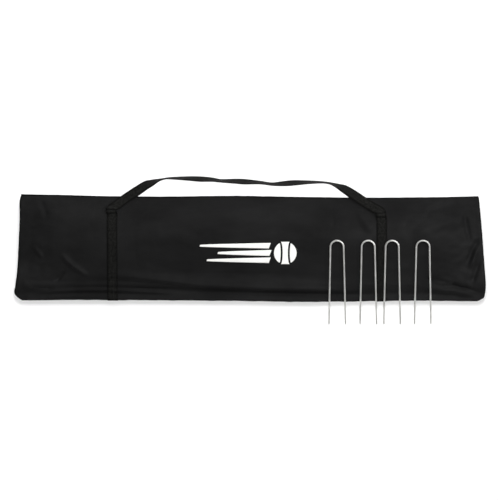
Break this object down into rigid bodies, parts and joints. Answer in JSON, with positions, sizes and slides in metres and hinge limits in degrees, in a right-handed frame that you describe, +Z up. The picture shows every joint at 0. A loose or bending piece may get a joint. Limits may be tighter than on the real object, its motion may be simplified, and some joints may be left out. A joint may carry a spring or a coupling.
{
  "type": "bagged net game set",
  "caption": "Long flat zipped carry bag with a webbing handle, packed with a folded net and its tube frame, with loose U-shaped ground pegs resting on it.",
  "frame": {"origin": "middle of the underside of the bag's back panel, which it lies on", "axes": "+X along the bag's length, +Y towards the zip and the handle, +Z up out of the front panel"},
  "size_m": [1.106, 0.3485, 0.0602],
  "materials": {
    "bag_fabric": "woven polyester with a faint sheen",
    "zip_tape": "fine woven tape",
    "zip_coil": "nylon coil",
    "zip_metal": "black plated, satin",
    "webbing": "ribbed polypropylene webbing",
    "peg_steel": "zinc plated wire",
    "tube_steel": "powder coated",
    "fitting_plastic": "moulded",
    "netting": "knotted netting, folded",
    "print": "screen-printed ink",
    "tie_tape": "hook and loop"
  },
  "bodies": {
    "bag": {"bag_back_panel": "bag_fabric", "bag_front_panel": "bag_fabric", "bottom_gusset": "bag_fabric", "left_end_gusset": "bag_fabric", "right_end_gusset": "bag_fabric", "zip_tape_upper": "zip_tape", "zip_tape_lower": "zip_tape", "zip_coil": "zip_coil", "zip_stop_left": "zip_metal", "zip_stop_right": "zip_metal", "webbing_band_left": "webbing", "webbing_band_right": "webbing", "frame_tube_1": "tube_steel", "frame_tube_2": "tube_steel", "frame_tube_3": "tube_steel", "frame_tube_4": "tube_steel", "frame_tube_5": "tube_steel", "frame_tube_6": "tube_steel", "frame_tube_7": "tube_steel", "frame_tube_8": "tube_steel", "corner_fitting_1": "fitting_plastic", "corner_fitting_2": "fitting_plastic", "corner_fitting_3": "fitting_plastic", "corner_fitting_4": "fitting_plastic", "net_pack": "netting", "net_tie_1": "tie_tape", "net_tie_2": "tie_tape"},
    "handle": {"carry_strap": "webbing"},
    "slider": {"zip_slider": "zip_metal"},
    "puller": {"zip_puller": "zip_metal"},
    "peg_1": {"ground_peg_1": "peg_steel"},
    "peg_2": {"ground_peg_2": "peg_steel"},
    "peg_3": {"ground_peg_3": "peg_steel"},
    "peg_4": {"ground_peg_4": "peg_steel"}
  },
  "joints": [
    {"name": "handle_lift", "type": "hinge", "parent": "bag", "child": "handle", "pos_m": [-0.312, 0.086, 0.0435], "axis": [0.9998, -0.018, 0.0064], "range_deg": [0, 100]},
    {"name": "zip_slide", "type": "slide", "parent": "bag", "child": "slider", "axis": [1, 0, 0], "range_m": [0, 0.99]},
    {"name": "puller_swing", "type": "hinge", "parent": "slider", "child": "puller", "pos_m": [-0.49675, 0.1214, 0.0108], "axis": [0, 0, 1], "range_deg": [0, 170]},
    {"name": "peg_1_lift", "type": "slide", "parent": "bag", "child": "peg_1", "axis": [0, 0, 1], "range_m": [0, 0.25]},
    {"name": "peg_2_lift", "type": "slide", "parent": "bag", "child": "peg_2", "axis": [0, 0, 1], "range_m": [0, 0.25]},
    {"name": "peg_3_lift", "type": "slide", "parent": "bag", "child": "peg_3", "axis": [0, 0, 1], "range_m": [0, 0.25]},
    {"name": "peg_4_lift", "type": "slide", "parent": "bag", "child": "peg_4", "axis": [0, 0, 1], "range_m": [0, 0.25]}
  ]
}
